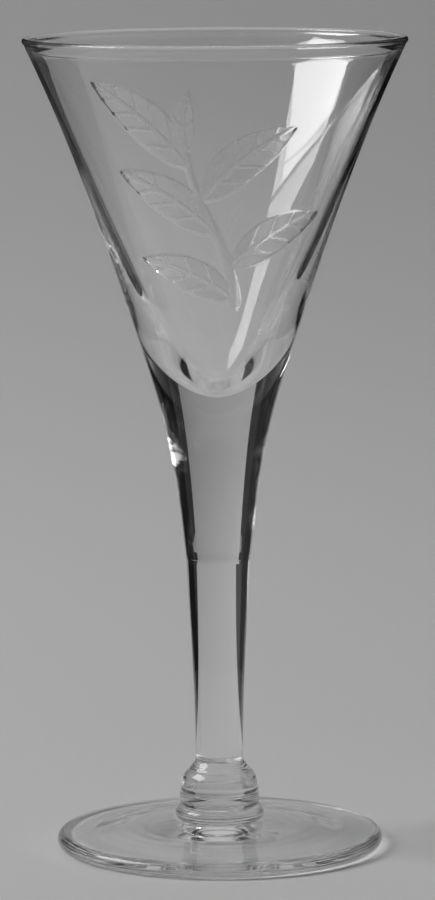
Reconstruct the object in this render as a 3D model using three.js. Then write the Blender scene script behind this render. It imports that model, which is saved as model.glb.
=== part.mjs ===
// A hand-made sherry glass: six gathers of clear glass, fused one on top of the other.
// From the table up: foot, collar, knop, lower stem, upper stem and bowl.
// Millimetres, +Z up, origin at the centre of the resting face under the foot.

import * as THREE from 'three';

// Foot: a disc with a round edge, standing on a flat ring round a shallow hollow
const FOOT_RADIUS = 30.2;
const FOOT_EDGE_THICKNESS = 2.9;
const FOOT_RISE = 1.9;
const FOOT_REST_WIDTH = 5.0;
const FOOT_KICK_HEIGHT = 1.6;
const FOOT_BOSS_MARGIN = 1.2;

// Collar: the round-edged ring between the foot and the knop
const COLLAR_RADIUS = 8.3;
const COLLAR_HEIGHT = 2.8;

// Knop: bell shaped, widest just above the collar
const KNOP_RADIUS = 7.45;
const KNOP_FOOT_ROUND = 1.1;
const KNOP_SKIRT_HEIGHT = 4.1;
const KNOP_SHOULDER_RADIUS = 6.8;
const KNOP_SHOULDER_HEIGHT = 3.7;

// Stem: drawn in two lengths that meet at a seam with a slight lip above it
const STEM_WAIST_RADIUS = 4.4;
const LOWER_STEM_LENGTH = 37.0;
const STEM_SEAM_RADIUS = 5.92;
const UPPER_STEM_LENGTH = 26.5;
const SEAM_LIP_RADIUS = 6.13;
const SEAM_LIP_HEIGHT = 1.6;

// Bowl: flared outside, hollowed in one smooth curve with a round bottom, and a beaded rim
const BOWL_HEIGHT = 70.0;
const BOWL_BASE_RADIUS = 10.03;
const FLARE_HEIGHT = 15.0;
const FLARE_RADIUS = 14.56;
const BOWL_FLOOR_THICKNESS = 5.4;
const HOLLOW_WALL_REACH = 39.3;
const HOLLOW_FLOOR_REACH = 8.0;
const RIM_RADIUS = 35.2;
const RIM_WALL_THICKNESS = 1.1;
const RIM_BEAD_SWELL = 0.1;

// Slopes of the outline, as change of radius for each millimetre of height
const KNOP_SHOULDER_SLOPE = -0.2;
const KNOP_NECK_SLOPE = -0.05;
const SEAM_SLOPE_BELOW = 0.055;
const SEAM_SLOPE_ABOVE = 0.109;
const BOWL_BASE_SLOPE = 0.247;
const FLARE_SLOPE = 0.327;
const RIM_SLOPE = 0.47;
const HOLLOW_RIM_SLOPE = 0.43;

// Clear glass: the thicker the piece, the deeper its grey
const GLASS_ROUGHNESS = 0.03;
const THIN_GLASS_GREY = 0xe2e6e6;
const FOOT_GLASS_GREY = 0xd9dddd;
const STEM_GLASS_GREY = 0xd2d7d7;
const KNOP_GLASS_GREY = 0xc9cfcf;

// Facets
const ROUND_STEPS = 48;
const LONG_CURVE_STEPS = 14;
const SHORT_CURVE_STEPS = 8;
const FLARE_STEPS = 4;
const LIP_STEPS = 3;
const ARC_STEPS = 8;

// Each gather of glass stands on the one below
const collarBase = FOOT_EDGE_THICKNESS + FOOT_RISE;
const knopBase = collarBase + COLLAR_HEIGHT;
const knopHeight = KNOP_FOOT_ROUND + KNOP_SKIRT_HEIGHT + KNOP_SHOULDER_HEIGHT;
const lowerStemBase = knopBase + knopHeight;
const upperStemBase = lowerStemBase + LOWER_STEM_LENGTH;
const bowlBase = upperStemBase + UPPER_STEM_LENGTH;

// A profile point: radius from the axis, height above the piece's own base.
function at(radius, height) {
  return new THREE.Vector2(radius, height);
}

// A stretch of outline whose radius is a cubic in its height, with a given slope at each end.
function flowCurve(low, lowSlope, high, highSlope, steps) {
  const third = (high.y - low.y) / 3;
  const lowHandle = at(low.x + lowSlope * third, low.y + third);
  const highHandle = at(high.x - highSlope * third, high.y - third);
  return new THREE.CubicBezierCurve(low, lowHandle, highHandle, high).getPoints(steps);
}

// A round stretch of outline, between two angles measured from the outward direction.
function roundCurve(centre, radius, startAngle, endAngle, steps) {
  const clockwise = endAngle < startAngle;
  const arc = new THREE.EllipseCurve(
    centre.x, centre.y, radius, radius, startAngle, endAngle, clockwise,
  );
  return arc.getPoints(steps);
}

// Stretches of outline in order, with the point that two neighbours share kept once.
function joinOutline(...stretches) {
  const sharedPointTolerance = 1e-6;
  const outline = [];
  for (const point of stretches.flat()) {
    const last = outline.at(-1);
    if (!last || last.distanceTo(point) > sharedPointTolerance) {
      outline.push(point);
    }
  }
  return outline;
}

// A piece turned about the glass's axis, standing at its own height in the stack.
function turnedPiece(name, outline, baseHeight, grey) {
  const geometry = new THREE.LatheGeometry(outline, ROUND_STEPS);
  geometry.rotateX(Math.PI / 2);
  const material = new THREE.MeshStandardMaterial({
    color: grey, roughness: GLASS_ROUGHNESS, metalness: 0,
  });
  const mesh = new THREE.Mesh(geometry, material);
  mesh.name = name;
  mesh.position.z = baseHeight;
  return mesh;
}

const collarRound = COLLAR_HEIGHT / 2;
const collarSeatRadius = COLLAR_RADIUS - collarRound;

// The foot's top falls from the collar's seat to the edge in one gentle curve.
function footOutline() {
  const edgeRound = FOOT_EDGE_THICKNESS / 2;
  const edgeCentre = at(FOOT_RADIUS - edgeRound, edgeRound);
  const bossRadius = collarSeatRadius + FOOT_BOSS_MARGIN;
  const restInner = edgeCentre.x - FOOT_REST_WIDTH;
  const slopeLength = edgeCentre.x - bossRadius;
  const hollow = new THREE.QuadraticBezierCurve(
    at(0, FOOT_KICK_HEIGHT),
    at(restInner / 2, FOOT_KICK_HEIGHT),
    at(restInner, 0),
  );
  const topFall = new THREE.CubicBezierCurve(
    at(edgeCentre.x, FOOT_EDGE_THICKNESS),
    at(edgeCentre.x - slopeLength / 3, FOOT_EDGE_THICKNESS),
    at(bossRadius + slopeLength / 3, FOOT_EDGE_THICKNESS + FOOT_RISE / 2),
    at(bossRadius, collarBase),
  );
  return joinOutline(
    hollow.getPoints(SHORT_CURVE_STEPS),
    roundCurve(edgeCentre, edgeRound, -Math.PI / 2, Math.PI / 2, ARC_STEPS),
    topFall.getPoints(SHORT_CURVE_STEPS),
    [at(0, collarBase)],
  );
}

function collarOutline() {
  const roundCentre = at(collarSeatRadius, collarRound);
  return joinOutline(
    [at(0, 0)],
    roundCurve(roundCentre, collarRound, -Math.PI / 2, Math.PI / 2, ARC_STEPS),
    [at(0, COLLAR_HEIGHT)],
  );
}

function knopOutline() {
  const footCentre = at(KNOP_RADIUS - KNOP_FOOT_ROUND, KNOP_FOOT_ROUND);
  const widest = at(KNOP_RADIUS, KNOP_FOOT_ROUND);
  const shoulder = at(KNOP_SHOULDER_RADIUS, KNOP_FOOT_ROUND + KNOP_SKIRT_HEIGHT);
  const neck = at(STEM_WAIST_RADIUS, knopHeight);
  return joinOutline(
    [at(0, 0)],
    roundCurve(footCentre, KNOP_FOOT_ROUND, -Math.PI / 2, 0, ARC_STEPS / 2),
    flowCurve(widest, 0, shoulder, KNOP_SHOULDER_SLOPE, ARC_STEPS / 2),
    flowCurve(shoulder, KNOP_SHOULDER_SLOPE, neck, KNOP_NECK_SLOPE, SHORT_CURVE_STEPS),
    [at(0, knopHeight)],
  );
}

function lowerStemOutline() {
  const waist = at(STEM_WAIST_RADIUS, 0);
  const seam = at(STEM_SEAM_RADIUS, LOWER_STEM_LENGTH);
  return joinOutline(
    [at(0, 0)],
    flowCurve(waist, 0, seam, SEAM_SLOPE_BELOW, SHORT_CURVE_STEPS),
    [at(0, LOWER_STEM_LENGTH)],
  );
}

function upperStemOutline() {
  const seam = at(STEM_SEAM_RADIUS, 0);
  const lip = at(SEAM_LIP_RADIUS, SEAM_LIP_HEIGHT);
  const bowlJoint = at(BOWL_BASE_RADIUS, UPPER_STEM_LENGTH);
  return joinOutline(
    [at(0, 0)],
    flowCurve(seam, SEAM_SLOPE_BELOW, lip, SEAM_SLOPE_ABOVE, LIP_STEPS),
    flowCurve(lip, SEAM_SLOPE_ABOVE, bowlJoint, BOWL_BASE_SLOPE, SHORT_CURVE_STEPS),
    [at(0, UPPER_STEM_LENGTH)],
  );
}

// The rim's bead wraps both faces of the wall, from which it swells a little. The hollow leaves
// the bead along its own slope and reaches the floor level, in one curve that draws in faster
// than the flare outside, so the wall thickens from the rim to the floor.
function bowlOutline() {
  const beadRadius = RIM_WALL_THICKNESS / 2 + RIM_BEAD_SWELL;
  const beadCentre = at(RIM_RADIUS - beadRadius, BOWL_HEIGHT - beadRadius);
  const wrapAngle = Math.acos(RIM_WALL_THICKNESS / 2 / beadRadius);
  const outerEnd = -Math.atan(RIM_SLOPE) - wrapAngle;
  const innerEnd = Math.PI - Math.atan(HOLLOW_RIM_SLOPE) + wrapAngle;
  const bead = roundCurve(beadCentre, beadRadius, outerEnd, innerEnd, ARC_STEPS);
  const beadEnd = bead.at(-1);
  const base = at(BOWL_BASE_RADIUS, 0);
  const flareTop = at(FLARE_RADIUS, FLARE_HEIGHT);
  const hollow = new THREE.CubicBezierCurve(
    beadEnd,
    at(beadEnd.x - HOLLOW_RIM_SLOPE * HOLLOW_WALL_REACH, beadEnd.y - HOLLOW_WALL_REACH),
    at(HOLLOW_FLOOR_REACH, BOWL_FLOOR_THICKNESS),
    at(0, BOWL_FLOOR_THICKNESS),
  );
  return joinOutline(
    [at(0, 0)],
    flowCurve(base, BOWL_BASE_SLOPE, flareTop, FLARE_SLOPE, FLARE_STEPS),
    flowCurve(flareTop, FLARE_SLOPE, bead[0], RIM_SLOPE, LONG_CURVE_STEPS),
    bead,
    hollow.getPoints(LONG_CURVE_STEPS),
  );
}

const sherryGlass = new THREE.Group();
sherryGlass.add(
  turnedPiece('foot', footOutline(), 0, FOOT_GLASS_GREY),
  turnedPiece('collar', collarOutline(), collarBase, KNOP_GLASS_GREY),
  turnedPiece('knop', knopOutline(), knopBase, KNOP_GLASS_GREY),
  turnedPiece('lower_stem', lowerStemOutline(), lowerStemBase, STEM_GLASS_GREY),
  turnedPiece('upper_stem', upperStemOutline(), upperStemBase, STEM_GLASS_GREY),
  turnedPiece('bowl', bowlOutline(), bowlBase, THIN_GLASS_GREY),
);

export default sherryGlass;
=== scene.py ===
import math

import bpy
import numpy as np
from mathutils import Matrix, Vector


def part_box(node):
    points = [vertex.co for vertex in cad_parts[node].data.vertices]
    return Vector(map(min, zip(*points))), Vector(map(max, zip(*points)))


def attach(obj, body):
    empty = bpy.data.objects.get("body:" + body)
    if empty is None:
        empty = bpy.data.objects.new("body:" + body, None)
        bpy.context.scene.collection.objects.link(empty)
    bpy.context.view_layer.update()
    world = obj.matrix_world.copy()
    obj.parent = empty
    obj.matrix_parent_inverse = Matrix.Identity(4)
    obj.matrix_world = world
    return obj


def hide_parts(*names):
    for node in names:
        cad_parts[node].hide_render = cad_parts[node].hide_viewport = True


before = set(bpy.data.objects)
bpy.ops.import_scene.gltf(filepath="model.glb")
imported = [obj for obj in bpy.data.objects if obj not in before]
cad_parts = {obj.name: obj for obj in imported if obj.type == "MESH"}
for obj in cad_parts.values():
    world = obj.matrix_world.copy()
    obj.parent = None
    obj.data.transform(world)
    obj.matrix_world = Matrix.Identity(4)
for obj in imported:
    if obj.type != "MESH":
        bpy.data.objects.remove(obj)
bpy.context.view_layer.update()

MM = 0.001
QUARTER = math.pi / 2

# Heights of the joints between the gathers of glass, from the frame
COLLAR_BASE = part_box("collar")[0].z
KNOP_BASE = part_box("knop")[0].z
LOWER_STEM_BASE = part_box("lower_stem")[0].z
SEAM_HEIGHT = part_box("upper_stem")[0].z
BOWL_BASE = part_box("bowl")[0].z
RIM_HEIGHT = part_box("bowl")[1].z

# Sizes of the turned pieces, as in the construction model
FOOT_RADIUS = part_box("foot")[1].x
FOOT_EDGE_THICKNESS = 2.9 * MM
FOOT_REST_WIDTH = 5.0 * MM
FOOT_KICK_HEIGHT = 1.6 * MM
FOOT_BOSS_MARGIN = 1.2 * MM
COLLAR_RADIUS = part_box("collar")[1].x
COLLAR_ROUND = (KNOP_BASE - COLLAR_BASE) / 2
COLLAR_SEAT_RADIUS = COLLAR_RADIUS - COLLAR_ROUND
KNOP_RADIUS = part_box("knop")[1].x
KNOP_FOOT_ROUND = 1.1 * MM
KNOP_SEAT_RADIUS = KNOP_RADIUS - KNOP_FOOT_ROUND
KNOP_SKIRT_HEIGHT = 4.1 * MM
KNOP_SHOULDER_RADIUS = 6.8 * MM
STEM_WAIST_RADIUS = 4.4 * MM
STEM_SEAM_RADIUS = 5.92 * MM
SEAM_LIP_RADIUS = 6.13 * MM
SEAM_LIP_HEIGHT = 1.6 * MM
BOWL_BASE_RADIUS = 10.03 * MM
FLARE_HEIGHT = 15.0 * MM
FLARE_RADIUS = 14.56 * MM
BOWL_FLOOR_THICKNESS = 5.4 * MM
HOLLOW_WALL_REACH = 39.3 * MM
HOLLOW_FLOOR_REACH = 8.0 * MM
RIM_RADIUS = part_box("bowl")[1].x
RIM_WALL_THICKNESS = 1.1 * MM
RIM_BEAD_SWELL = 0.1 * MM

# Slopes of the outline, as change of radius with height
KNOP_SHOULDER_SLOPE = -0.2
KNOP_NECK_SLOPE = -0.05
SEAM_SLOPE_BELOW = 0.055
SEAM_SLOPE_ABOVE = 0.109
BOWL_BASE_SLOPE = 0.247
FLARE_SLOPE = 0.327
RIM_SLOPE = 0.47
HOLLOW_RIM_SLOPE = 0.43

# Tool rings round the knop, as distance below the neck and depth, and the foot's spun ripple
KNOP_RINGS = ((2.05 * MM, 0.08 * MM), (6.3 * MM, 0.04 * MM))
KNOP_RING_WIDTH = 0.24 * MM
RIPPLE_LENGTH = 2.6 * MM
RIPPLE_HEIGHT = 0.006 * MM

# Steps along each stretch of outline
FOOT_HOLLOW_STEPS = 24
FOOT_EDGE_STEPS = 36
FOOT_TOP_STEPS = 90
COLLAR_STEPS = 28
KNOP_FOOT_STEPS = 18
KNOP_SKIRT_STEPS = 60
KNOP_SHOULDER_STEPS = 74
LIP_STEPS = 10
STEM_STEPS = 40
FLARE_SAMPLES = 500
WALL_SAMPLES = 1500
RIM_BEAD_STEPS = 12
HOLLOW_STEPS = 36

# Points closer than this are one point
SAME_POINT = 1e-6 * MM

# Distance between a joint's ring and the ring that keeps the shading true beside it
JOINT_GUARD = 0.006 * MM

# Band of the bowl that carries the engraved branch, where the grid is finest
BRANCH_LOW = 99.5 * MM
BRANCH_HIGH = 143.5 * MM
BRANCH_HALF_ANGLE = math.radians(85)
BRANCH_ROWS = 176
ROWS_BELOW_BRANCH = 16
ROWS_ABOVE_BRANCH = 6
BRANCH_COLUMNS = 330
BACK_COLUMNS = 70

# Engraved branch: an upright stalk that sways, with leaves on alternate sides and one at its tip
STALK_LOW = 100.5 * MM
STALK_HIGH = 130.5 * MM
STALK_SWAY = math.radians(11)
STALK_WIDTH_LOW = 2.8 * MM
STALK_WIDTH_HIGH = 1.2 * MM
STALK_DEPTH = 0.32 * MM
STALK_TOE = 3.5 * MM
STALK_MATT = 0.6
STALK_FULL_MATT_FROM = 0.5
LEAF_COUNT = 5
LEAF_STEP = 6.1 * MM
LEAF_FIRST_HEIGHT = 103.5 * MM
LEAF_FIRST_TURN = math.radians(66)
LEAF_TURN_STEP = math.radians(4.5)
LEAF_FIRST_LENGTH = 20.0 * MM
LEAF_LENGTH_STEP = 1.2 * MM
TIP_LEAF_LENGTH = 13.0 * MM
TIP_LEAF_TURN = math.radians(6)
LEAF_SLENDERNESS = 0.5
LEAF_BASE_POWER = 0.7
LEAF_TIP_POWER = 0.9
LEAF_BEND = 0.07
LEAF_DEPTH = 0.16 * MM
VEIN_SPACING = 4.6 * MM
VEIN_SLANT = 1.2
VEIN_WIDTH = 0.42 * MM
VEIN_DEPTH = 0.1 * MM
VEIN_POLISH = 0.85
MIDRIB_WIDTH = 0.75 * MM
LINE_CORE = 0.25
CUT_EDGE = 0.4 * MM

# Glass: its waves come from the maker's tools. The marks of the engraver's wheel are too fine to
# show in the picture, so they are drawn coarser than they are.
GLASS_IOR = 1.5
WAVE_LENGTH = 9.0 * MM
WAVE_HEIGHT = 0.006 * MM
WAVE_DETAIL = 1.0
WAVE_ROUGHNESS = 0.4
SPUN_STRETCH = 1.0
BLOWN_STRETCH = 1.5
DRAWN_STRETCH = 6.0
GRIT_SIZE = 0.35 * MM
GRIT_HEIGHT = 0.012 * MM
GRIT_DETAIL = 2.0
GRIT_ROUGHNESS = 0.6
MATT_ROUGHNESS = 0.4
MATT_CLEARNESS = 0.62

# The sRGB curve: straight at first, then a power
SRGB_STRAIGHT_END = 0.04045
SRGB_STRAIGHT_SLOPE = 12.92
SRGB_OFFSET = 0.055
SRGB_POWER = 2.4

# Stage: a pale floor with a narrow paper backdrop that bends up from it, in metres
FLOOR_HALF_SIZE = 2.6
AIR_FILM = 0.05 * MM
BACKDROP_DISTANCE = 1.3
BACKDROP_HEIGHT = 1.4
BACKDROP_BEND = 0.8
BACKDROP_HALF_WIDTH = 0.08
BACKDROP_SPREAD = 0.43
BACKDROP_BEND_STEPS = 24
# Height over which the papers' painted tone changes: painted shade higher up the backdrop, and a painted
# pool of light low on the left flag
PAINTED_SHADE_HEIGHT = 0.18

# Dark cards that stand behind the glass on both sides, and that only the glass shows
FLAG_DEPTH = 0.1
FLAG_GAP = 0.043
FLAG_WIDTH = 0.1
FLAG_HEIGHT = 0.26
FLAG_SWEEP = 0.036
LEFT_FLAG_SPREAD = 0.065
RIGHT_FLAG_SPREAD = 0.088
FLAG_ROWS = 24

# Dark cards that lie on the floor beside the paper backdrop, and that only the glass shows
CARD_NEAR_CORNER = (0.0808, 0.0018)
CARD_SIDE_CORNER = (0.6, 0.1422)
LEFT_CARD_FAR_CORNER = (0.6, 1.9)
RIGHT_CARD_FAR_CORNER = (0.897, 1.9)
CARD_LIFT = 0.4 * MM

# Lamps: a key softbox on the left of the glass, and one that lights the backdrop
KEY_DIRECTION = (-0.79, -0.01, 0.615)
KEY_DISTANCE = 1.6
KEY_SIZE = (1.04, 0.71)
KEY_POWER = 17.0
KEY_AIM = (0, 0, 0.1)
BACK_LAMP_DIRECTION = (0, -0.75, 0.66)
BACK_LAMP_DISTANCE = 1.2
BACK_LAMP_SIZE = (0.8, 0.4)
BACK_LAMP_POWER = 1.2
BACK_LAMP_AIM = (0, BACKDROP_DISTANCE, BACKDROP_BEND)
BACK_LAMP_SPREAD = math.radians(60)

# Room: where each of its tones starts and is full, along a unit direction's axes
ROOM_RIGHT = (-0.4, 0.4)
ROOM_OVERHEAD = (0.5, 0.85)
ROOM_BEHIND = (-0.5, 0.1)
ROOM_FAR_SIDES = (0.86, 0.96)
ROOM_LOW = (0.35, 0.2)

# Turns that light may take inside the glass
LIGHT_BOUNCES = 32

# Camera: solved from the ellipses of the rim and the foot. The sensor is in Blender's millimetres.
CAMERA_DISTANCE = 863.3 * MM
CAMERA_HEIGHT = 193.0 * MM
CAMERA_PITCH = math.radians(7.848)
CAMERA_ROLL = math.radians(0.359)
CAMERA_CLIP = 0.01
FOCAL_PIXELS = 4733.9
IMAGE_HEIGHT = 900
SENSOR = 36.0


def flow(low, low_slope, high, high_slope, steps):
    """Outline stretch whose radius is the cubic in height with a given slope at each end."""
    t = np.linspace(0, 1, steps + 1)
    rise = high[1] - low[1]
    radius = (
        (2 * t**3 - 3 * t**2 + 1) * low[0]
        + (t**3 - 2 * t**2 + t) * rise * low_slope
        + (3 * t**2 - 2 * t**3) * high[0]
        + (t**3 - t**2) * rise * high_slope
    )
    return np.stack([radius, low[1] + t * rise], axis=1)


def arc(centre, radius, start, end, steps):
    """Round outline stretch, between two angles measured from the outward direction."""
    angle = np.linspace(start, end, steps + 1)
    points = np.stack([np.cos(angle), np.sin(angle)], axis=1)
    return np.asarray(centre) + radius * points


def bezier(points, steps):
    """Cubic Bezier outline stretch through its first and last of four points."""
    t = np.linspace(0, 1, steps + 1)[:, None]
    a, b, c, d = (np.asarray(p, dtype=float) for p in points)
    return (1 - t) ** 3 * a + 3 * (1 - t) ** 2 * t * b + 3 * (1 - t) * t**2 * c + t**3 * d


def smooth(low, high, value):
    """Smooth step from 0 at low to 1 at high."""
    t = np.clip((value - low) / (high - low), 0, 1)
    return t * t * (3 - 2 * t)


def arch(t):
    """Parabola that is 0 at both ends of 0 to 1, and 1 in the middle."""
    return 4 * t * (1 - t)


def outline(*stretches):
    """Stretches in order, with the point that two neighbours share kept once."""
    points = np.concatenate([np.atleast_2d(s) for s in stretches])
    step = np.linalg.norm(np.diff(points, axis=0), axis=1)
    return points[np.concatenate([[True], step > SAME_POINT])]


def guarded(points):
    """Outline with a second ring close to each end ring, so a flat joint doesn't tilt the shading."""
    first = points[1] - points[0]
    last = points[-2] - points[-1]
    near_first = points[0] + JOINT_GUARD * first / np.linalg.norm(first)
    near_last = points[-1] + JOINT_GUARD * last / np.linalg.norm(last)
    return np.concatenate([points[:1], [near_first], points[1:-1], [near_last], points[-1:]])


def column_angles():
    """Angles round the axis from the front, close together where the branch is."""
    front = np.linspace(-BRANCH_HALF_ANGLE, BRANCH_HALF_ANGLE, BRANCH_COLUMNS, endpoint=False)
    back = np.linspace(
        BRANCH_HALF_ANGLE, 2 * math.pi - BRANCH_HALF_ANGLE, BACK_COLUMNS, endpoint=False
    )
    return np.concatenate([front, back])


ANGLES = column_angles()


def turned_points(radius, height, angles):
    """Points of a turned surface: radius times (sin, -cos) of the angle, at the given height."""
    x = radius * np.sin(angles)
    y = -radius * np.cos(angles)
    z = np.broadcast_to(height, x.shape)
    return np.stack([x, y, z], axis=-1)


def turned_mesh(name, points, pole_heights, joint_rows):
    """Closed mesh from a grid of rings, with a pole on the axis at each end.

    points holds rings by columns by xyz, in order from the lower pole outwards and up and
    back to the upper pole. joint_rows lists the strips, counted from the lower pole, that are
    fused joints and take the second material.
    """
    rings, columns = points.shape[:2]
    poles = np.array([[0, 0, pole_heights[0]], [0, 0, pole_heights[1]]])
    verts = np.concatenate([points.reshape(-1, 3), poles])
    grid = np.arange(rings * columns).reshape(rings, columns)
    right = np.roll(grid, -1, axis=1)
    quads = np.stack([grid[:-1], right[:-1], right[1:], grid[1:]], axis=-1).reshape(-1, 4)
    low_pole = np.full(columns, rings * columns)
    high_pole = low_pole + 1
    low_fan = np.stack([low_pole, right[0], grid[0]], axis=-1)
    high_fan = np.stack([grid[-1], right[-1], high_pole], axis=-1)
    strip = np.concatenate([
        np.zeros(columns, dtype=int),
        np.repeat(np.arange(1, rings), columns),
        np.full(columns, rings),
    ])
    mesh = bpy.data.meshes.new(name)
    mesh.from_pydata(verts, [], [*low_fan.tolist(), *quads.tolist(), *high_fan.tolist()])
    joint = np.isin(strip, [row % (rings + 1) for row in joint_rows])
    mesh.polygons.foreach_set("material_index", joint.astype(np.int32))
    mesh.polygons.foreach_set("use_smooth", ~joint)
    mesh.update()
    return mesh


def linear(hex_colour):
    """Linear colour of an sRGB hex value, with full alpha."""
    channels = np.array([int(hex_colour[i:i + 2], 16) for i in (1, 3, 5)]) / 255
    low = channels / SRGB_STRAIGHT_SLOPE
    high = ((channels + SRGB_OFFSET) / (1 + SRGB_OFFSET)) ** SRGB_POWER
    return (*np.where(channels <= SRGB_STRAIGHT_END, low, high).tolist(), 1.0)


def add(tree, kind, settings=None, **links):
    """Adds a node with its settings, and links or sets its inputs.

    An input goes by its name, with _ for a space, or by _ and its number.
    """
    node = tree.nodes.new(kind)
    for key, value in (settings or {}).items():
        setattr(node, key, value)
    for key, value in links.items():
        numbered = key[1:].isdigit()
        socket = node.inputs[int(key[1:]) if numbered else key.replace("_", " ")]
        if isinstance(value, bpy.types.NodeSocket):
            tree.links.new(value, socket)
        else:
            socket.default_value = value
    return node


def new_material(name):
    """Empty node material and its tree."""
    material = bpy.data.materials.new(name)
    material.use_nodes = True
    material.node_tree.nodes.clear()
    return material, material.node_tree


def fused_joint():
    """Inside a fused joint there is no surface, so light goes straight through it."""
    material, tree = new_material("fused_joint_in_glass")
    clear = add(tree, "ShaderNodeBsdfTransparent")
    add(tree, "ShaderNodeOutputMaterial", Surface=clear.outputs[0])
    return material


def waves(tree, stretch):
    """Normal of a surface with the slight waves of hand-worked glass, drawn out along Z by stretch."""
    place = add(tree, "ShaderNodeTexCoord")
    drawn = add(
        tree, "ShaderNodeMapping", Vector=place.outputs["Object"], Scale=(1, 1, 1 / stretch),
    )
    noise = add(
        tree, "ShaderNodeTexNoise", Vector=drawn.outputs[0],
        Scale=1 / WAVE_LENGTH, Detail=WAVE_DETAIL, Roughness=WAVE_ROUGHNESS,
    )
    bump = add(
        tree, "ShaderNodeBump", Height=noise.outputs[0], Distance=WAVE_HEIGHT, Strength=1.0,
    )
    return bump.outputs[0]


def clear_glass(name, stretch):
    """Clear glass, fire-polished: dark edges and sharp highlights that waver a little."""
    material, tree = new_material(name)
    shader = add(
        tree, "ShaderNodeBsdfPrincipled",
        Base_Color=linear("#ffffff"), Roughness=0.0, IOR=GLASS_IOR, Transmission_Weight=1.0,
        Normal=waves(tree, stretch),
    )
    add(tree, "ShaderNodeOutputMaterial", Surface=shader.outputs[0])
    return material


def engraved_glass():
    """Clear blown glass cut by a wheel: the cuts are matt, pale grey and finely gritty."""
    material, tree = new_material("blown_glass_wheel_engraved")
    frost = add(tree, "ShaderNodeAttribute", {"attribute_name": "frost"})
    roughness = add(
        tree, "ShaderNodeMapRange", Value=frost.outputs["Fac"], To_Min=0.0, To_Max=MATT_ROUGHNESS,
    )
    clearness = add(
        tree, "ShaderNodeMapRange", Value=frost.outputs["Fac"], To_Min=1.0, To_Max=MATT_CLEARNESS,
    )
    place = add(tree, "ShaderNodeTexCoord")
    grit = add(
        tree, "ShaderNodeTexNoise", Vector=place.outputs["Object"],
        Scale=1 / GRIT_SIZE, Detail=GRIT_DETAIL, Roughness=GRIT_ROUGHNESS,
    )
    ground = add(
        tree, "ShaderNodeBump", Height=grit.outputs[0], Distance=GRIT_HEIGHT,
        Strength=frost.outputs["Fac"], Normal=waves(tree, BLOWN_STRETCH),
    )
    shader = add(
        tree, "ShaderNodeBsdfPrincipled",
        Base_Color=linear("#ffffff"), Roughness=roughness.outputs[0], IOR=GLASS_IOR,
        Transmission_Weight=clearness.outputs[0], Normal=ground.outputs[0],
    )
    add(tree, "ShaderNodeOutputMaterial", Surface=shader.outputs[0])
    return material


FUSED_JOINT = fused_joint()
SPUN_GLASS = clear_glass("spun_clear_glass", SPUN_STRETCH)
DRAWN_GLASS = clear_glass("drawn_clear_glass", DRAWN_STRETCH)
ENGRAVED_GLASS = engraved_glass()


def glass_piece(name, mesh, node, skin):
    """Object of one gather of glass, which stands for the construction model's node."""
    piece = bpy.data.objects.new(name, mesh)
    bpy.context.collection.objects.link(piece)
    mesh.materials.append(skin)
    mesh.materials.append(FUSED_JOINT)
    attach(piece, "root")
    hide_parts(node)
    return piece


def turned_piece(name, node, points, joint_rows, skin):
    """A plain turned piece from an outline that starts and ends on the axis."""
    rings = guarded(points[1:-1])
    grid = turned_points(rings[:, :1], rings[:, 1:], ANGLES)
    mesh = turned_mesh(name, grid, (points[0, 1], points[-1, 1]), joint_rows)
    return glass_piece(name, mesh, node, skin)


def foot():
    """Thick disc: hollow underneath, flat ring, full round edge, and a top that rises inwards.

    The hollow is a parabola. The top carries a fine ripple of rings, a sine of the radius that
    fades at both ends.
    """
    edge_round = FOOT_EDGE_THICKNESS / 2
    edge_centre = (FOOT_RADIUS - edge_round, edge_round)
    boss_radius = COLLAR_SEAT_RADIUS + FOOT_BOSS_MARGIN
    rest_inner = edge_centre[0] - FOOT_REST_WIDTH
    slope_length = edge_centre[0] - boss_radius
    mid_height = (FOOT_EDGE_THICKNESS + COLLAR_BASE) / 2
    hollow_radius = np.linspace(0, rest_inner, FOOT_HOLLOW_STEPS + 1)
    hollow_height = FOOT_KICK_HEIGHT * (1 - (hollow_radius / rest_inner) ** 2)
    top = bezier([
        (edge_centre[0], FOOT_EDGE_THICKNESS),
        (edge_centre[0] - slope_length / 3, FOOT_EDGE_THICKNESS),
        (boss_radius + slope_length / 3, mid_height),
        (boss_radius, COLLAR_BASE),
    ], FOOT_TOP_STEPS)
    run = (edge_centre[0] - top[:, 0]) / slope_length
    swell = RIPPLE_HEIGHT * np.sin(math.pi * run)
    top[:, 1] += swell * np.sin(2 * math.pi * top[:, 0] / RIPPLE_LENGTH)
    points = outline(
        np.stack([hollow_radius, hollow_height], axis=1),
        arc(edge_centre, edge_round, -QUARTER, QUARTER, FOOT_EDGE_STEPS),
        top,
        (COLLAR_SEAT_RADIUS, COLLAR_BASE),
        (0, COLLAR_BASE),
    )
    return turned_piece("foot_glass", "foot", points, [-1], SPUN_GLASS)


def collar():
    """Ring with a full round edge, fused to the foot below and the knop above."""
    centre = (COLLAR_SEAT_RADIUS, COLLAR_BASE + COLLAR_ROUND)
    points = outline(
        (0, COLLAR_BASE),
        arc(centre, COLLAR_ROUND, -QUARTER, QUARTER, COLLAR_STEPS),
        (KNOP_SEAT_RADIUS, KNOP_BASE),
        (0, KNOP_BASE),
    )
    return turned_piece("collar_glass", "collar", points, [0, -1], DRAWN_GLASS)


def ringed(points, top):
    """Outline with the rings that a tool leaves: each takes a bell curve of its depth off the radius."""
    cut = np.zeros(len(points))
    for drop, depth in KNOP_RINGS:
        cut += depth * np.exp(-((points[:, 1] - top + drop) / KNOP_RING_WIDTH) ** 2)
    return points - np.stack([cut, np.zeros_like(cut)], axis=1) * (points[:, :1] > 0)


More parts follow.
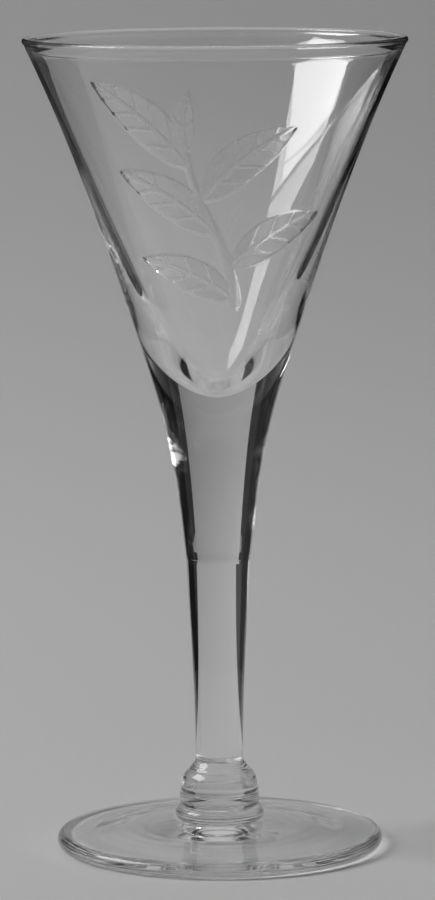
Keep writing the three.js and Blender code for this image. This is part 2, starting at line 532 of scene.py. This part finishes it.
def knop():
    """Bell: round lower edge, a skirt that leans in, and a shoulder that runs into the stem."""
    foot_centre = (KNOP_SEAT_RADIUS, KNOP_BASE + KNOP_FOOT_ROUND)
    widest = (KNOP_RADIUS, foot_centre[1])
    shoulder = (KNOP_SHOULDER_RADIUS, foot_centre[1] + KNOP_SKIRT_HEIGHT)
    neck = (STEM_WAIST_RADIUS, LOWER_STEM_BASE)
    points = outline(
        (0, KNOP_BASE),
        arc(foot_centre, KNOP_FOOT_ROUND, -QUARTER, 0, KNOP_FOOT_STEPS),
        flow(widest, 0, shoulder, KNOP_SHOULDER_SLOPE, KNOP_SKIRT_STEPS),
        flow(shoulder, KNOP_SHOULDER_SLOPE, neck, KNOP_NECK_SLOPE, KNOP_SHOULDER_STEPS),
        (0, LOWER_STEM_BASE),
    )
    points = ringed(points, LOWER_STEM_BASE)
    return turned_piece("knop_glass", "knop", points, [0, -1], DRAWN_GLASS)


def lower_stem():
    """Drawn rod that widens from the waist to the seam."""
    waist = (STEM_WAIST_RADIUS, LOWER_STEM_BASE)
    seam = (STEM_SEAM_RADIUS, SEAM_HEIGHT)
    points = outline(
        (0, LOWER_STEM_BASE),
        flow(waist, 0, seam, SEAM_SLOPE_BELOW, STEM_STEPS),
        (0, SEAM_HEIGHT),
    )
    return turned_piece("lower_stem_glass", "lower_stem", points, [0, -1], DRAWN_GLASS)


def upper_stem():
    """Drawn rod with a slight lip at the seam, flaring up to the bowl."""
    seam = (STEM_SEAM_RADIUS, SEAM_HEIGHT)
    lip = (SEAM_LIP_RADIUS, SEAM_HEIGHT + SEAM_LIP_HEIGHT)
    bowl_joint = (BOWL_BASE_RADIUS, BOWL_BASE)
    points = outline(
        (0, SEAM_HEIGHT),
        flow(seam, SEAM_SLOPE_BELOW, lip, SEAM_SLOPE_ABOVE, LIP_STEPS),
        flow(lip, SEAM_SLOPE_ABOVE, bowl_joint, BOWL_BASE_SLOPE, STEM_STEPS),
        (0, BOWL_BASE),
    )
    return turned_piece("upper_stem_glass", "upper_stem", points, [0, -1], DRAWN_GLASS)


def bowl_outline():
    """Outer flare, rim bead, and the hollow's one smooth curve, from base to hollow's floor.

    The outer flare is sampled finely and read off at the heights that the engraved branch needs.
    The count of its points comes back with the outline.
    """
    floor_height = BOWL_BASE + BOWL_FLOOR_THICKNESS
    bead_radius = RIM_WALL_THICKNESS / 2 + RIM_BEAD_SWELL
    bead_centre = np.array([RIM_RADIUS - bead_radius, RIM_HEIGHT - bead_radius])
    wrap_angle = math.acos(RIM_WALL_THICKNESS / 2 / bead_radius)
    bead_start = -math.atan(RIM_SLOPE) - wrap_angle
    bead_end = math.pi - math.atan(HOLLOW_RIM_SLOPE) + wrap_angle
    bead = arc(bead_centre, bead_radius, bead_start, bead_end, RIM_BEAD_STEPS)
    base = (BOWL_BASE_RADIUS, BOWL_BASE)
    flare_top = (FLARE_RADIUS, BOWL_BASE + FLARE_HEIGHT)
    wall = outline(
        flow(base, BOWL_BASE_SLOPE, flare_top, FLARE_SLOPE, FLARE_SAMPLES),
        flow(flare_top, FLARE_SLOPE, bead[0], RIM_SLOPE, WALL_SAMPLES),
    )
    height = np.concatenate([
        [BOWL_BASE],
        np.linspace(BOWL_BASE + JOINT_GUARD, BRANCH_LOW, ROWS_BELOW_BRANCH, endpoint=False),
        np.linspace(BRANCH_LOW, BRANCH_HIGH, BRANCH_ROWS, endpoint=False),
        np.linspace(BRANCH_HIGH, bead[0, 1], ROWS_ABOVE_BRANCH),
    ])
    outer = np.stack([np.interp(height, wall[:, 1], wall[:, 0]), height], axis=1)
    hollow = bezier([
        bead[-1],
        bead[-1] - HOLLOW_WALL_REACH * np.array([HOLLOW_RIM_SLOPE, 1]),
        (HOLLOW_FLOOR_REACH, floor_height),
        (0, floor_height),
    ], HOLLOW_STEPS)
    return outline(outer, bead, hollow), len(outer)


def stalk_angle(height):
    """Angle of the stalk round the bowl: half a cosine wave over its height."""
    rise = (height - STALK_LOW) / (STALK_HIGH - STALK_LOW)
    return STALK_SWAY * np.cos(math.pi * rise)


def unrolled(angle, height, radius, base_height, base_angle):
    """Distances across and up the wall from a point on it, as if it were rolled out flat."""
    lean = math.cos(math.atan((FLARE_SLOPE + RIM_SLOPE) / 2))
    return (angle - base_angle) * radius, (height - base_height) / lean


def leaf(across, up, turn, length):
    """Matt share and depth of one lance-shaped leaf that starts at the origin.

    Along its bent midrib t runs from 0 to 1, and its half width is a multiple of t to the base
    power times (1 - t) to the tip power. The side veins are slanting lines, evenly spaced along
    the midrib.
    """
    along = across * math.sin(turn) + up * math.cos(turn)
    aside = across * math.cos(turn) - up * math.sin(turn)
    t = np.clip(along / length, 0, 1)
    aside = aside + math.copysign(LEAF_BEND * length, turn) * arch(t)
    half_width = length * LEAF_SLENDERNESS * t**LEAF_BASE_POWER * (1 - t) ** LEAF_TIP_POWER
    off_midrib = np.abs(aside)
    inside = smooth(0, CUT_EDGE, half_width - off_midrib)
    row = (along - VEIN_SLANT * off_midrib) / VEIN_SPACING
    off_vein = np.abs(row - np.round(row)) * VEIN_SPACING / math.hypot(1, VEIN_SLANT)
    vein = 1 - smooth(LINE_CORE * VEIN_WIDTH, VEIN_WIDTH, off_vein)
    midrib = 1 - smooth(LINE_CORE * MIDRIB_WIDTH, MIDRIB_WIDTH, off_midrib)
    line = np.maximum(vein, midrib) * inside
    return inside * (1 - VEIN_POLISH * line), LEAF_DEPTH * inside + VEIN_DEPTH * line


def stalk(angle, height, radius):
    """Matt share and depth of the stalk, a groove that tapers upwards and runs out at both ends.

    Across the stalk the groove is a parabola, which gets shallower and narrower at the ends.
    """
    rise = np.clip((height - STALK_LOW) / (STALK_HIGH - STALK_LOW), 0, 1)
    half_width = (STALK_WIDTH_LOW + (STALK_WIDTH_HIGH - STALK_WIDTH_LOW) * rise) / 2
    off_middle = np.abs(angle - stalk_angle(height)) * radius
    ends = smooth(STALK_LOW, STALK_LOW + STALK_TOE, height)
    ends = ends * smooth(STALK_HIGH + CUT_EDGE, STALK_HIGH, height)
    groove = np.clip(ends - (off_middle / half_width) ** 2, 0, 1)
    return STALK_MATT * smooth(0, STALK_FULL_MATT_FROM, groove), STALK_DEPTH * groove


def branch(angle, height, radius):
    """Matt share and depth of the whole branch at each point of the wall.

    Leaves start on the stalk, one step above each other on alternate sides, each a little
    longer and steeper than the one below. One more leaf ends the stalk.
    """
    cuts = [stalk(angle, height, radius)]
    for i in range(LEAF_COUNT):
        side = -1 if i % 2 == 0 else 1
        base_height = LEAF_FIRST_HEIGHT + i * LEAF_STEP
        base_angle = stalk_angle(base_height)
        turn = side * (LEAF_FIRST_TURN - i * LEAF_TURN_STEP)
        length = LEAF_FIRST_LENGTH + i * LEAF_LENGTH_STEP
        across, up = unrolled(angle, height, radius, base_height, base_angle)
        cuts.append(leaf(across, up, turn, length))
    across, up = unrolled(angle, height, radius, STALK_HIGH, stalk_angle(STALK_HIGH))
    cuts.append(leaf(across, up, TIP_LEAF_TURN, TIP_LEAF_LENGTH))
    frost, depth = (np.max(layer, axis=0) for layer in zip(*cuts))
    return frost, depth


def bowl():
    """Flared bowl with an engraved branch outside, which is cut into the outer wall's radius."""
    points, outer_count = bowl_outline()
    rings = points[:-1]
    angle = (ANGLES + math.pi) % (2 * math.pi) - math.pi
    outer = rings[:outer_count]
    frost = np.zeros((len(rings), len(ANGLES)))
    depth = np.zeros_like(frost)
    frost[:outer_count], depth[:outer_count] = branch(angle, outer[:, 1:], outer[:, :1])
    grid = turned_points(rings[:, :1] - depth, rings[:, 1:], ANGLES)
    mesh = turned_mesh("bowl_glass", grid, (BOWL_BASE, points[-1, 1]), [0])
    matt = mesh.attributes.new("frost", "FLOAT", "POINT")
    matt.data.foreach_set("value", np.append(frost.ravel(), [0, 0]))
    return glass_piece("bowl_glass", mesh, "bowl", ENGRAVED_GLASS)


def sheet(name, verts, faces, material):
    """Thin sheet that belongs to the stage."""
    mesh = bpy.data.meshes.new(name)
    mesh.from_pydata(verts, [], faces)
    mesh.polygons.foreach_set("use_smooth", np.ones(len(faces), dtype=bool))
    mesh.materials.append(material)
    obj = bpy.data.objects.new(name, mesh)
    bpy.context.collection.objects.link(obj)
    return obj


def paired_sheet(name, verts, material):
    """Sheet from pairs of corner points, one pair to a row."""
    grid = np.arange(len(verts)).reshape(-1, 2)
    quads = np.stack([grid[:-1, 0], grid[:-1, 1], grid[1:, 1], grid[1:, 0]], axis=-1)
    return sheet(name, verts, quads.tolist(), material)


def swept(profile, half_widths):
    """Corner points of a profile of (depth, height) points, spread sideways by half widths."""
    half_widths = np.broadcast_to(half_widths, len(profile))
    return np.stack([
        np.stack([-half_widths, half_widths], axis=1).ravel(),
        np.repeat(profile[:, 0], 2),
        np.repeat(profile[:, 1], 2),
    ], axis=1)


def matt_paper(name, low_tone, high_tone):
    """Matt paper that fades with height from one tone to another; where the tones differ, the fade is
    painted light and shade.

    It shows from its front only, so that it never hides the glass from behind.
    """
    material, tree = new_material(name)
    place = add(tree, "ShaderNodeTexCoord")
    axes = add(tree, "ShaderNodeSeparateXYZ", Vector=place.outputs["Object"])
    drop = add(
        tree, "ShaderNodeMath", {"operation": "DIVIDE"},
        _0=axes.outputs["Z"], _1=-PAINTED_SHADE_HEIGHT,
    )
    fade = add(tree, "ShaderNodeMath", {"operation": "EXPONENT"}, _0=drop.outputs[0])
    tone = add(
        tree, "ShaderNodeMix", {"data_type": "RGBA"},
        Factor=fade.outputs[0], _6=linear(high_tone), _7=linear(low_tone),
    )
    front = add(tree, "ShaderNodeBsdfDiffuse", Color=tone.outputs[2])
    clear = add(tree, "ShaderNodeBsdfTransparent")
    side = add(tree, "ShaderNodeNewGeometry")
    seen = add(
        tree, "ShaderNodeMixShader",
        _0=side.outputs["Backfacing"], _1=front.outputs[0], _2=clear.outputs[0],
    )
    add(tree, "ShaderNodeOutputMaterial", Surface=seen.outputs[0])
    return material


def only_in_glass(obj):
    """Card that shows only as the glass bends or mirrors it: the camera and the paper don't see it."""
    obj.visible_camera = False
    obj.visible_diffuse = False
    obj.visible_shadow = False


def card(name, side, far_corner, material):
    """Flat card with three corners: beside the glass, out to the side, and far behind.

    A corner is its distances sideways and back from the glass.
    """
    across, back = np.array([CARD_NEAR_CORNER, CARD_SIDE_CORNER, far_corner]).T
    corners = np.stack([side * across, back, np.full(len(back), CARD_LIFT)], axis=1)
    only_in_glass(sheet(name, corners[::side], [[0, 1, 2]], material))


def flag(name, side, spread, material):
    """Upright strip of card that faces the camera from beside and behind the glass.

    Its inner edge is FLAG_GAP from the middle and sweeps outwards near the floor, by spread
    times the falling exponential of the height over FLAG_SWEEP.
    """
    height = np.linspace(CARD_LIFT, FLAG_HEIGHT, FLAG_ROWS)
    inner = FLAG_GAP + spread * np.exp(-height / FLAG_SWEEP)
    ends = side * np.stack([inner, inner + FLAG_WIDTH], axis=1)
    across = np.sort(ends, axis=1).ravel()
    depth = np.full(len(across), FLAG_DEPTH)
    corners = np.stack([across, depth, np.repeat(height, 2)], axis=1)
    only_in_glass(paired_sheet(name, corners, material))


def stage():
    """Wide floor, a backdrop that bends up from it behind the glass, and four dark cards."""
    # Painted shade: the backdrop paper is painted darker with height, where the light falls off; the
    # floor keeps the pale tone
    paper = matt_paper("pale_paper_painted_darker_upwards", "#d2d2d2", "#acacac")
    floor = np.array([[-FLOOR_HALF_SIZE, -AIR_FILM], [FLOOR_HALF_SIZE, -AIR_FILM]])
    paired_sheet("floor", swept(floor, FLOOR_HALF_SIZE), paper)
    bend_centre = (BACKDROP_DISTANCE - BACKDROP_BEND, BACKDROP_BEND)
    bend = arc(bend_centre, BACKDROP_BEND, -QUARTER, 0, BACKDROP_BEND_STEPS)
    backdrop = np.concatenate([bend, [[BACKDROP_DISTANCE, BACKDROP_HEIGHT]]])
    half_widths = BACKDROP_HALF_WIDTH + BACKDROP_SPREAD * backdrop[:, 0]
    paired_sheet("backdrop", swept(backdrop, half_widths), paper)
    grey_card = matt_paper("dark_grey_card", "#565656", "#565656")
    # Painted light: the left flag's card is painted paler low down, where the key softbox lights it, and
    # dark higher up
    painted_lit_card = matt_paper("grey_card_painted_lit_low", "#606060", "#1a1a1a")
    black_card = matt_paper("black_card", "#161616", "#161616")
    card("left_card", -1, LEFT_CARD_FAR_CORNER, grey_card)
    card("right_card", 1, RIGHT_CARD_FAR_CORNER, black_card)
    flag("left_flag", -1, LEFT_FLAG_SPREAD, painted_lit_card)
    flag("right_flag", 1, RIGHT_FLAG_SPREAD, black_card)


def softbox(name, direction, distance, size, power, aim):
    """Rectangular area lamp in a direction from the point that it is turned to."""
    lamp = bpy.data.lights.new(name, "AREA")
    lamp.shape = "RECTANGLE"
    lamp.size, lamp.size_y = size
    lamp.energy = power
    obj = bpy.data.objects.new(name, lamp)
    bpy.context.collection.objects.link(obj)
    way = Vector(direction).normalized()
    obj.location = Vector(aim) + way * distance
    obj.rotation_mode = "QUATERNION"
    obj.rotation_quaternion = way.to_track_quat("Z", "Y")
    return lamp


def dim_room():
    """Dim room: nearly black at the height of the glass, darker on the right, and pale overhead.

    Low down at the far sides it is grey.
    """
    world = bpy.data.worlds.new("dim_room")
    world.use_nodes = True
    tree = world.node_tree
    tree.nodes.clear()
    way = add(tree, "ShaderNodeTexCoord")
    axes = add(tree, "ShaderNodeSeparateXYZ", Vector=way.outputs["Generated"])
    sideways = add(tree, "ShaderNodeMath", {"operation": "ABSOLUTE"}, _0=axes.outputs["X"])
    spans = {
        "right": (axes.outputs["X"], ROOM_RIGHT),
        "overhead": (axes.outputs["Z"], ROOM_OVERHEAD),
        "behind": (axes.outputs["Y"], ROOM_BEHIND),
        "far_sides": (sideways.outputs[0], ROOM_FAR_SIDES),
        "low": (axes.outputs["Z"], ROOM_LOW),
    }
    share = {}
    for name, (value, (start, full)) in spans.items():
        step = add(
            tree, "ShaderNodeMapRange", {"interpolation_type": "SMOOTHSTEP"},
            Value=value, From_Min=start, From_Max=full,
        )
        share[name] = step.outputs[0]
    ceiling = add(
        tree, "ShaderNodeMath", {"operation": "MULTIPLY"}, _0=share["overhead"], _1=share["behind"],
    )
    low_sides = add(
        tree, "ShaderNodeMath", {"operation": "MULTIPLY"}, _0=share["far_sides"], _1=share["low"],
    )
    walls = add(
        tree, "ShaderNodeMix", {"data_type": "RGBA"},
        Factor=share["right"], _6=linear("#303030"), _7=linear("#0c0c0c"),
    )
    lit_walls = add(
        tree, "ShaderNodeMix", {"data_type": "RGBA"},
        Factor=low_sides.outputs[0], _6=walls.outputs[2], _7=linear("#949494"),
    )
    room = add(
        tree, "ShaderNodeMix", {"data_type": "RGBA"},
        Factor=ceiling.outputs[0], _6=lit_walls.outputs[2], _7=linear("#c0c0c0"),
    )
    light = add(tree, "ShaderNodeBackground", Color=room.outputs[2])
    add(tree, "ShaderNodeOutputWorld", Surface=light.outputs[0])
    bpy.context.scene.world = world


def studio():
    """Key softbox high on the left, a weak lamp on the backdrop, and the dim room."""
    softbox("key_softbox", KEY_DIRECTION, KEY_DISTANCE, KEY_SIZE, KEY_POWER, KEY_AIM)
    lamp = softbox(
        "backdrop_softbox", BACK_LAMP_DIRECTION, BACK_LAMP_DISTANCE, BACK_LAMP_SIZE,
        BACK_LAMP_POWER, BACK_LAMP_AIM,
    )
    lamp.spread = BACK_LAMP_SPREAD
    dim_room()


def camera():
    """Camera in front of the glass, looking slightly down, with the small roll of the picture."""
    data = bpy.data.cameras.new("camera")
    data.sensor_width = SENSOR
    data.lens = FOCAL_PIXELS * SENSOR / IMAGE_HEIGHT
    data.clip_start = CAMERA_CLIP
    obj = bpy.data.objects.new("camera", data)
    bpy.context.collection.objects.link(obj)
    place = Matrix.Translation((0, -CAMERA_DISTANCE, CAMERA_HEIGHT))
    pitch = Matrix.Rotation(QUARTER - CAMERA_PITCH, 4, "X")
    roll = Matrix.Rotation(-CAMERA_ROLL, 4, "Z")
    obj.matrix_world = place @ pitch @ roll
    bpy.context.scene.camera = obj


def light_paths():
    """Lets light turn often inside the glass, with nothing that blurs the light it focuses."""
    cycles = bpy.context.scene.cycles
    cycles.blur_glossy = 0.0
    cycles.max_bounces = LIGHT_BOUNCES
    cycles.glossy_bounces = LIGHT_BOUNCES
    cycles.transmission_bounces = LIGHT_BOUNCES
    cycles.transparent_max_bounces = LIGHT_BOUNCES


foot()
collar()
knop()
lower_stem()
upper_stem()
bowl()

stage()
studio()
camera()
light_paths()
bpy.context.scene.view_settings.view_transform = "Standard"
